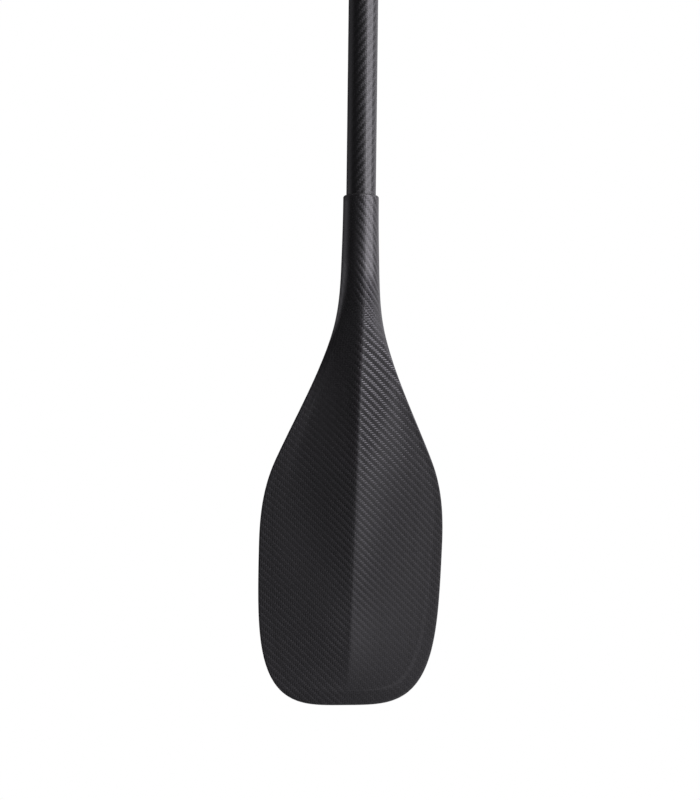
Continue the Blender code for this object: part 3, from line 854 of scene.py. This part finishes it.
def carbon_cloth(name, lean, gloss):
    """Twill carbon cloth under a clear coat.

    The gloss gives the contrast of the tows left and right of the middle, damped on the left as
    painted shade and raised on the right as painted light, the tone, relief and roughness of the
    tows along and across, whose split in tone is partly the cloth's own and partly painted sheen,
    the bow of floats in the bend, a painted highlight beside the ridge, and the coat. Toward the
    tip the tows are painted lighter as painted light, and the band round the tip darker as painted
    shade.
    """
    finish = bpy.context.scene.paddle_finish
    material, graph, shader = new_material(name)
    lengthwise, height, streak, tow_tone, bow = twill(graph, lean)
    right, _, high = graph.split(graph.place())
    at = {key: by_height(high, value) for key, value in gloss.items()}
    # Painted light: toward the tip the tows are painted lighter, and the contrast on the right is
    # damped.
    low = 1.0 - high.step(*LOW_BLADE_PAINTED_LIGHT)
    lit_side_weave = at["lit_side_weave"] * (1.0 - low * LOW_LIT_WEAVE_LOSS)
    # Painted light and shade: the tows' contrast is damped on the left, which the softbox leaves
    # dark, and raised on the right, where it falls.
    weave_by_light = blend(right.step(*WEAVE_SHADE_TURNS), at["shade_side_weave"], lit_side_weave)
    side = (lengthwise - 0.5) * weave_by_light + 0.5
    beside = graph.split(graph.cloth())[0].absolute()
    # Painted highlight: crosswise tows within a few tows of the ridge are painted brighter, fading
    # out low on the blade.
    crown = (1.0 - beside.step(*RIDGE_HIGHLIGHT_TOWS)) * high.step(*RIDGE_HIGHLIGHT_FADES) * at["ridge_highlight"] + 1.0
    grain_and_painted_light = blend(streak, *STREAK_TONES) * blend(tow_tone, *TOW_TONES)
    # Lengthwise and crosswise tows differ in tone partly as the cloth's own and partly as painted
    # sheen, after where each family catches the softbox.
    grain_and_painted_light = grain_and_painted_light * blend(side, at["across"] * crown, at["along"]) * (low * LOW_PAINTED_LIGHT + 1.0)
    # Painted shade: the band round the tip is painted darker.
    grain_and_painted_light = grain_and_painted_light * blend(high.step(*TIP_BAND_SHADE_SPAN), 1.0 - TIP_BAND_PAINTED_SHADE, 1.0)
    covered = height.step(*RESIN_GAP)
    grained_and_painted = graph.scaled(tuple(finish.lit_fibre), grain_and_painted_light)
    roughness = blend(side, at["cross_rough"], at["long_rough"]) + (streak - 0.5) * STREAK_ROUGHNESS
    relief = blend(lengthwise, at["cross_relief"], at["long_relief"]) * weave_by_light
    bowed = bow * (high.step(*BOWED_FROM) - high.step(*BOWED_TO)) * at["bow"]
    graph.set(
        shader,
        Base_Color=graph.mix(covered, color(finish.gap), grained_and_painted),
        Roughness=roughness.clipped(),
        Metallic=blend(covered, *CLOTH_METALLIC),
        Specular_IOR_Level=CLOTH_SPECULAR,
        Normal=graph.bump(relief * (height + streak * STREAK_RELIEF) + bowed),
        Coat_Weight=at["coat"],
        Coat_Roughness=at["coat_roughness"],
        Coat_IOR=COAT_IOR,
    )
    return material


def mottled(name, tones, mottle, marks, bump, roughness, coat):
    """A dark finish mottled between two tones, with marks that raise and roughen it.

    Mottle and marks are a noise's scale and detail, bump its height and strength.
    """
    material, graph, shader = new_material(name)
    place = graph.place()
    mark = graph.noise(place, *marks)
    graph.set(
        shader,
        Base_Color=graph.mix(graph.noise(place, *mottle), *map(color, tones)),
        Roughness=blend(mark, *roughness),
        Normal=graph.bump(mark, *bump),
        Coat_Weight=coat[0],
        Coat_Roughness=coat[1],
    )
    return material


def cell_foam(name, tone):
    """Closed-cell foam: small round cells that pit its surface and are painted darker towards each
    pit's middle as painted shade.
    """
    material, graph, shader = new_material(name)
    place = graph.place()
    cells = graph.add("TexVoronoi", {"Vector": place, "Scale": FOAM_CELLS_SCALE})
    cloud = graph.noise(place, FOAM_CLOUDS_SCALE, 3.0)
    # Painted shade: each cell is darker towards its middle, where its pit is deepest.
    shade = blend(cells.step(*FOAM_CELL_EDGE), *FOAM_PIT_SHADE_TONES) + (cloud - 0.5) * FOAM_CLOUD_TONE
    graph.set(
        shader,
        Base_Color=graph.scaled(tuple(tone), shade),
        Roughness=blend(cloud, *FOAM_ROUGHNESS),
        Normal=graph.bump(cells, *FOAM_BUMP),
    )
    return material


# Pieces


class PADDLE_OT_blade(bpy.types.Operator):
    """Make the two laminates of neck and blade"""

    bl_idname = "paddle.blade"
    bl_label = "Blade laminates"

    def execute(self, context):
        tow = context.scene.paddle_sizes.tow
        outline = laminate_outline()
        faces = {
            "blade_front_laminate": (front_depth, front_rise, FRONT_STEP, 1, "blade_front_skin"),
            "blade_back_laminate": (back_depth, back_rise, BACK_STEP, -1, "blade_back_skin"),
        }
        material = carbon_cloth("blade_cloth", 1.0, BLADE_GLOSS)
        for name, (depth, rise, step, side, node) in faces.items():
            outer = face_rows(outline, depth, rise, step, True)
            inner = face_rows(outline, depth, rise, step, False)
            cloth = face_cloth(outer, side, tow)
            if side > 0:
                outer, inner = lean_ridge(outer), lean_ridge(inner)
            piece = shell_piece(
                name, to_world(outer, side), to_world(inner, side), cloth, material,
            )
            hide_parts(node)
        return {"FINISHED"}


class PADDLE_OT_edge(bpy.types.Operator):
    """Make the band that shows between the laminates along the blade's edge"""

    bl_idname = "paddle.edge"
    bl_label = "Edge band"

    def execute(self, context):
        half = blade_outline(BAND_SHOWS_FROM)
        mirror = np.array([-1.0, 1.0])
        outline, normal = (
            np.concatenate([part, part[-2::-1] * mirror]) for part in (half, inward(half))
        )
        thick = seam_height(outline[:, 1:]) - SEAM_HALF / 2
        nose = np.linspace(-1.0, 1.0, EDGE_STATIONS) * thick
        back = np.array([1.0, -1.0]) * thick
        width = np.interp(outline[:, 1:], *BAND_WIDTHS)
        away = np.concatenate([rounding_inset(nose), width + 0.0 * back], axis=1)
        away = np.concatenate([away, away[:, :1]], axis=1)
        away[[0, -1]] = 0.0
        height = np.concatenate([nose, back, nose[:, :1]], axis=1)
        height[[0, -1]] = 0.0
        plan = outline[:, None, :] + normal[:, None, :] * away[..., None]
        rows = np.concatenate([plan, height[..., None]], axis=-1)
        cloth = rows[..., :2] / context.scene.paddle_sizes.tow
        piece = mesh_piece(
            "blade_edge_laminate", to_world(rows, 1), cloth, grid_faces(vertex_numbers(rows)),
            mottled("edge_laminate", **SANDED),
        )
        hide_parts("blade_edge_band")
        return {"FINISHED"}


class PADDLE_OT_shaft(bpy.types.Operator):
    """Make the shaft's laminate, a tube with eased ends"""

    bl_idname = "paddle.shaft"
    bl_label = "Shaft laminate"

    def execute(self, context):
        inner, eased = SHAFT_RADIUS - SHAFT_WALL, SHAFT_RADIUS - SHAFT_EASE
        outside = np.linspace(SHAFT_TOP_Z - SHAFT_EASE, SHAFT_BOTTOM_Z + SHAFT_EASE, SHAFT_STATIONS)
        profile = [(inner, SHAFT_TOP_Z), (eased, SHAFT_TOP_Z)]
        profile += [(SHAFT_RADIUS, z) for z in outside]
        profile += [(eased, SHAFT_BOTTOM_Z), (inner, SHAFT_BOTTOM_Z), (inner, SHAFT_TOP_Z)]
        down = (SHAFT_TOP_Z - np.array(profile)[:, 1]) / context.scene.paddle_sizes.shaft_tow
        material = carbon_cloth("shaft_cloth", -1.0, SHAFT_GLOSS)
        piece = turned_piece("shaft_laminate", profile, down, material)
        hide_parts("shaft_tube")
        return {"FINISHED"}


def grip_plan(angle, inset=0.0):
    """Reach of the grip's bar seen from above: a superellipse, its sizes less the inset."""
    across = np.abs(np.cos(angle)) / (GRIP_HALF_WIDTH - inset)
    deep = np.abs(np.sin(angle)) / (GRIP_HALF_DEPTH - inset)
    return (across**GRIP_PLAN_POWER + deep**GRIP_PLAN_POWER) ** (-1.0 / GRIP_PLAN_POWER)


def grip_rows(angles, inset):
    """Rows of the grip from its stem to its crown, every size less by the inset.

    Under the arms each line is a cubic Bezier curve from the stem out to the bar's edge, and
    over the top it is a quarter of a superellipse that closes on the crown. The arms droop by
    the square of the distance beyond the stem.
    """
    stem = SHAFT_RADIUS - inset
    reach = grip_plan(angles, inset)
    middle = GRIP_BAR_HEIGHT / 2
    t = np.linspace(0.0, 1.0, GRIP_UNDER_STATIONS)[:, None]
    a, b, c, d = (1 - t) ** 3, 3 * t * (1 - t) ** 2, 3 * t * t * (1 - t), t**3
    under_radius = stem * (a + b) + reach * (c + d)
    under_z = -GRIP_FILLET * a + inset * (b + c) + middle * d + 0.0 * angles
    over = np.linspace(0.0, math.pi / 2, GRIP_OVER_STATIONS)[1:, None]
    over_radius = reach * np.maximum(np.cos(over), 0.0) ** GRIP_CROWN_POWER
    over_z = middle + (CROWN_Z - inset - middle) * np.sin(over) ** GRIP_CROWN_POWER + 0.0 * angles
    over_radius[-1] = 0.0
    down_stem = np.linspace(SHAFT_TOP_Z + CLEARANCE, -GRIP_FILLET, GRIP_STEM_STATIONS)
    down_stem = down_stem[:-1, None] + 0.0 * angles
    radius = np.concatenate([stem + 0.0 * down_stem, under_radius, over_radius])
    z = np.concatenate([down_stem, under_z, over_z])
    x, y = radius * np.cos(angles), radius * np.sin(angles)
    beyond = np.maximum(np.abs(x) - SHAFT_RADIUS, 0.0) / (GRIP_HALF_WIDTH - SHAFT_RADIUS)
    return np.stack([x, y, z - GRIP_END_DROP * beyond**2], axis=-1)


def grip_cloth(rows, angles, tow):
    """Cloth coordinates of a grip shell in tows.

    Across, it is the plan's arc length from the shell's middle times the share of the reach.
    Down, it is the angle over the bar from the crown times its mean radius, and plain height
    below the bar's middle.
    """
    fine = np.linspace(angles[0], angles[-1], FINE_STATIONS)
    reach = grip_plan(fine)
    x, y = reach * np.cos(fine), reach * np.sin(fine)
    arc = running_sum(np.hypot(np.diff(x), np.diff(y)))
    arc = np.interp(angles, fine, arc - arc[-1] / 2)
    share = np.hypot(rows[..., 0], rows[..., 1]) / grip_plan(angles)
    middle = GRIP_BAR_HEIGHT / 2
    up = np.maximum(rows[..., 2] - middle, 0.0) / (CROWN_Z - middle)
    over = np.arctan2(np.abs(rows[..., 1]) / GRIP_HALF_DEPTH, up + NEARLY_ZERO)
    mean_radius = (GRIP_HALF_DEPTH + CROWN_Z - middle) / 2
    down = mean_radius * over + np.maximum(middle - rows[..., 2], 0.0)
    return np.stack([arc * share, down], axis=-1) / tow


class PADDLE_OT_grip(bpy.types.Operator):
    """Make the front and back laminates of the T grip"""

    bl_idname = "paddle.grip"
    bl_label = "Grip laminates"

    def execute(self, context):
        tow = context.scene.paddle_sizes.tow
        material = carbon_cloth("grip_cloth", 1.0, GRIP_GLOSS)
        shells = {
            "grip_front_laminate": (math.pi, -1, "grip_front_shell"),
            "grip_back_laminate": (0.0, 1, "grip_back_shell"),
        }
        for name, (start, side, node) in shells.items():
            angles = np.linspace(start, start + math.pi, GRIP_STATIONS)
            outer, inner = grip_rows(angles, 0.0), grip_rows(angles, GRIP_SKIN)
            cloth = grip_cloth(outer, angles, tow)
            for rows in (outer, inner):
                rows[..., 1] = side * np.maximum(side * rows[..., 1], SEAM_HALF)
            piece = shell_piece(name, outer, inner, cloth, material)
            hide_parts(node)
        return {"FINISHED"}


class PADDLE_OT_bead(bpy.types.Operator):
    """Make the bead of adhesive where the shaft enters the socket"""

    bl_idname = "paddle.bead"
    bl_label = "Bond bead"

    def execute(self, context):
        bead = context.scene.paddle_sizes.bead
        angle = np.linspace(0.0, math.pi / 2, LIP_STATIONS)
        inner = SHAFT_RADIUS + CLEARANCE / 6
        hollow = np.stack(
            [inner + bead * (1.0 - np.sin(angle)), RIM_Z + bead * (1.0 - np.cos(angle))], axis=1
        )
        profile = [(inner, RIM_Z - bead), *hollow[::-1], (inner + bead, RIM_Z)]
        profile += [(inner + CLEARANCE / 2, RIM_Z - bead), (inner, RIM_Z - bead)]
        turned_piece(
            "socket_bond_bead", profile, np.zeros(len(profile)),
            mottled("bond_adhesive", **WIPED),
        )
        return {"FINISHED"}


class PADDLE_OT_inside(bpy.types.Operator):
    """Give the CAD's inner pieces their foam and laminate finishes"""

    bl_idname = "paddle.inside"
    bl_label = "Inner finishes"

    def execute(self, context):
        finish = context.scene.paddle_finish
        finishes = {
            "blade_foam_core": cell_foam("blade_foam_cells", finish.foam),
            "grip_foam_core": cell_foam("grip_foam_cells", finish.foam),
            "shaft_lower_plug": cell_foam("lower_plug_cells", finish.plug),
            "shaft_upper_plug": cell_foam("upper_plug_cells", finish.plug),
            "grip_spigot": mottled("spigot_layers", **SANDED),
        }
        for name, material in finishes.items():
            for material_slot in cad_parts[name].material_slots:
                material_slot.material = material
        return {"FINISHED"}


# Studio

# Brightness of the room by azimuth in degrees from -Y towards +X, a little less near the floor
ROOM_LEVELS = (
    (-180, 0.03), (-160, 0.010), (-140, 0.018), (-125, 0.040), (-105, 0.045), (-90, 0.030),
    (-75, 0.014), (-60, 0.016), (-45, 0.017), (-30, 0.025), (-18, 0.037), (-8, 0.039),
    (-1, 0.075), (3, 0.032), (5.5, 0.036), (9, 0.080), (12, 0.150), (15, 0.172), (19, 0.130),
    (22, 0.124), (27, 0.200), (31, 0.220), (42, 0.11), (72, 0.11), (84, 0.25), (120, 0.19),
    (160, 0.06), (180, 0.03),
)
FLOOR_SHADE = (-0.615, -0.58)
FLOOR_SHADE_LOSS = 0.08

# The softbox, which stands on the horizon, and a low reflector: levels, bottom and top edge
SOFTBOX = (
    (
        (-180, 0.0), (-60, 0.0), (-31, 0.012), (-12, 0.025), (0, 0.05), (8, 0.075), (16, 0.13),
        (22, 0.24), (27, 0.50), (32, 0.80), (72, 0.80), (84, 0.0), (180, 0.0),
    ),
    (-0.03, 0.07),
    (0.95, 1.30),
)
REFLECTOR = (
    (
        (-180, 0.0), (-150, 0.0), (-128, 0.06), (-112, 0.12), (-98, 0.06), (-80, 0.0), (180, 0.0),
    ),
    (-0.06, 0.0),
    (0.105, 0.130),
)

LIGHT_TINT = (1.028, 1.0, 1.062)
LAMP_AZIMUTH = math.radians(50.0)
LAMP_ELEVATION = math.radians(32.0)
LAMP_DISTANCE = 2.2
LAMP_WIDTH = 1.5
FLOOR_RADIUS = 12.0
FLOOR_CORNERS = 64
FLOOR_TONE = 0.92
FLOOR_ROUGHNESS = 0.9
FLOOR_GLOW = 0.36
FLOOR_FADES = (0.45, 1.05)
WHITE = (1.0, 1.0, 1.0, 1.0)


def towards(azimuth, elevation):
    """Unit vector at an azimuth from -Y towards +X and an elevation above the horizon."""
    flat = math.cos(elevation)
    return Vector((math.sin(azimuth) * flat, -math.cos(azimuth) * flat, math.sin(elevation)))


def light_path(graph):
    """Whether a ray comes from the camera, a glossy surface or a clear one, as three wires."""
    outputs = graph.tree.nodes.new("ShaderNodeLightPath").outputs
    kinds = ("Is Camera Ray", "Is Glossy Ray", "Is Transmission Ray")
    return [Wire(graph, outputs[kind]) for kind in kinds]


class PADDLE_OT_stage(bpy.types.Operator):
    """Make the floor, the softbox, the white surroundings and the camera"""

    bl_idname = "paddle.stage"
    bl_label = "Studio"

    def execute(self, context):
        studio = context.scene.paddle_studio
        self.make_world(context, studio)
        self.make_floor(studio)
        self.make_lamp(studio)
        self.make_camera(context)
        context.scene.view_settings.view_transform = "Standard"
        return {"FINISHED"}

    def make_world(self, context, studio):
        """White to the camera, a dim room with softbox and reflector to gloss, even fill else."""
        world = bpy.data.worlds.new("studio_room")
        context.scene.world = world
        world.use_nodes = True
        world.cycles.sampling_method = "NONE"
        graph = Graph(world.node_tree)
        x, y, z = graph.split(graph.place("Generated"))
        azimuth = x.math("ARCTAN2", y * -1.0)
        around = azimuth / math.tau + 0.5
        above_floor = blend(z.step(*FLOOR_SHADE), 1.0 - FLOOR_SHADE_LOSS, 1.0)
        mirrored = graph.ramp(around, ROOM_LEVELS) * above_floor
        for levels, bottom, top in (SOFTBOX, REFLECTOR):
            window = z.step(*bottom) * (1.0 - z.step(*top))
            mirrored = mirrored + graph.ramp(around, levels) * window
        camera, glossy, clear = light_path(graph)
        white = (camera + clear).clipped()
        light = glossy * mirrored * studio.softbox + (1.0 - glossy) * studio.fill
        level = graph.mix(white, graph.scaled(LIGHT_TINT, light), WHITE)
        graph.set(world.node_tree.nodes["Background"], Color=level)

    def make_floor(self, studio):
        """A round floor, lit near the paddle and plain white to the camera further out."""
        turn = np.arange(FLOOR_CORNERS) / FLOOR_CORNERS * math.tau
        ring = np.stack([np.cos(turn), np.sin(turn), 0.0 * turn], axis=1) * FLOOR_RADIUS
        ring[:, 2] = TIP_Z - studio.floor_drop
        mesh = bpy.data.meshes.new("studio_floor")
        mesh.from_pydata(ring, [], [tuple(range(len(ring)))])
        floor = link_object("studio_floor", mesh)
        floor.visible_glossy = False
        material, graph, shader = new_material("floor_white")
        graph.set(
            shader,
            Base_Color=color((FLOOR_TONE,) * 3),
            Roughness=FLOOR_ROUGHNESS,
            Specular_IOR_Level=0.0,
            Emission_Color=WHITE,
            Emission_Strength=FLOOR_GLOW,
        )
        x, y, _ = graph.split(graph.place())
        away = (x * x + y * y) ** 0.5
        camera, glossy, clear = light_path(graph)
        plain = away.step(*FLOOR_FADES) * (camera + glossy + clear).clipped()
        glow = graph.add("Emission", {"Color": WHITE})
        surface = Wire(graph, shader.outputs[0])
        mixed = graph.add("MixShader", {0: plain, 1: surface, 2: glow})
        graph.set(material.node_tree.nodes["Material Output"], Surface=mixed)
        mesh.materials.append(material)

    def make_lamp(self, studio):
        """The softbox as a lamp, which gloss doesn't mirror because the world shows it there."""
        lamp = bpy.data.lights.new("softbox_lamp", "AREA")
        lamp.shape = "DISK"
        lamp.size = LAMP_WIDTH
        lamp.energy = studio.lamp
        softbox = link_object("softbox_lamp", lamp)
        aim = towards(LAMP_AZIMUTH, LAMP_ELEVATION)
        centre = Vector((0.0, 0.0, BEND_Z - BLADE_LENGTH / 4))
        softbox.location = centre + aim * LAMP_DISTANCE
        softbox.rotation_euler = aim.to_track_quat("Z", "Y").to_euler()
        softbox.visible_camera = False
        softbox.visible_glossy = False

    def make_camera(self, context):
        """The photograph's camera, level, rolled a little and turned to the paddle's left."""
        data = bpy.data.cameras.new("photo_camera")
        data.sensor_width = SENSOR_WIDTH
        data.lens = FOCAL_PIXELS / LONGER_SIDE_PIXELS * SENSOR_WIDTH
        camera = link_object("photo_camera", data)
        back = towards(CAMERA_AZIMUTH, 0.0)
        right = towards(CAMERA_AZIMUTH + math.pi / 2, 0.0)
        up = Vector((0.0, 0.0, 1.0))
        rolled_right = math.cos(CAMERA_ROLL) * right + math.sin(CAMERA_ROLL) * up
        rolled_up = math.cos(CAMERA_ROLL) * up - math.sin(CAMERA_ROLL) * right
        target = right * TARGET_ACROSS + Vector((0.0, 0.0, BEND_Z - TARGET_BELOW_BEND))
        turned = Matrix((rolled_right, rolled_up, back)).transposed().to_4x4()
        turned.translation = target + back * CAMERA_DISTANCE
        camera.matrix_world = turned
        context.scene.camera = camera


class PADDLE_PT_panel(bpy.types.Panel):
    """The paddle's settings and the steps that make it"""

    bl_idname = "PADDLE_PT_panel"
    bl_label = "Paddle"
    bl_space_type = "VIEW_3D"
    bl_region_type = "UI"
    bl_category = "Paddle"

    def draw(self, context):
        for group in ("paddle_sizes", "paddle_finish", "paddle_studio"):
            settings = getattr(context.scene, group)
            for key in settings.__annotations__:
                self.layout.prop(settings, key)
        for operator in OPERATORS:
            self.layout.operator(operator.bl_idname)


OPERATORS = (
    PADDLE_OT_blade, PADDLE_OT_edge, PADDLE_OT_shaft, PADDLE_OT_grip, PADDLE_OT_bead,
    PADDLE_OT_inside, PADDLE_OT_stage,
)
GROUPS = {
    "paddle_sizes": PaddleSizes,
    "paddle_finish": PaddleFinish,
    "paddle_studio": PaddleStudio,
}


def register():
    for group in (*GROUPS.values(), *OPERATORS, PADDLE_PT_panel):
        bpy.utils.register_class(group)
    for name, group in GROUPS.items():
        setattr(bpy.types.Scene, name, PointerProperty(type=group))


def unregister():
    for name in GROUPS:
        delattr(bpy.types.Scene, name)
    for group in (PADDLE_PT_panel, *OPERATORS[::-1], *GROUPS.values()):
        bpy.utils.unregister_class(group)


def main():
    register()
    bpy.ops.paddle.blade()
    bpy.ops.paddle.edge()
    bpy.ops.paddle.shaft()
    bpy.ops.paddle.grip()
    bpy.ops.paddle.bead()
    bpy.ops.paddle.inside()
    bpy.ops.paddle.stage()


if __name__ == "__main__":
    main()
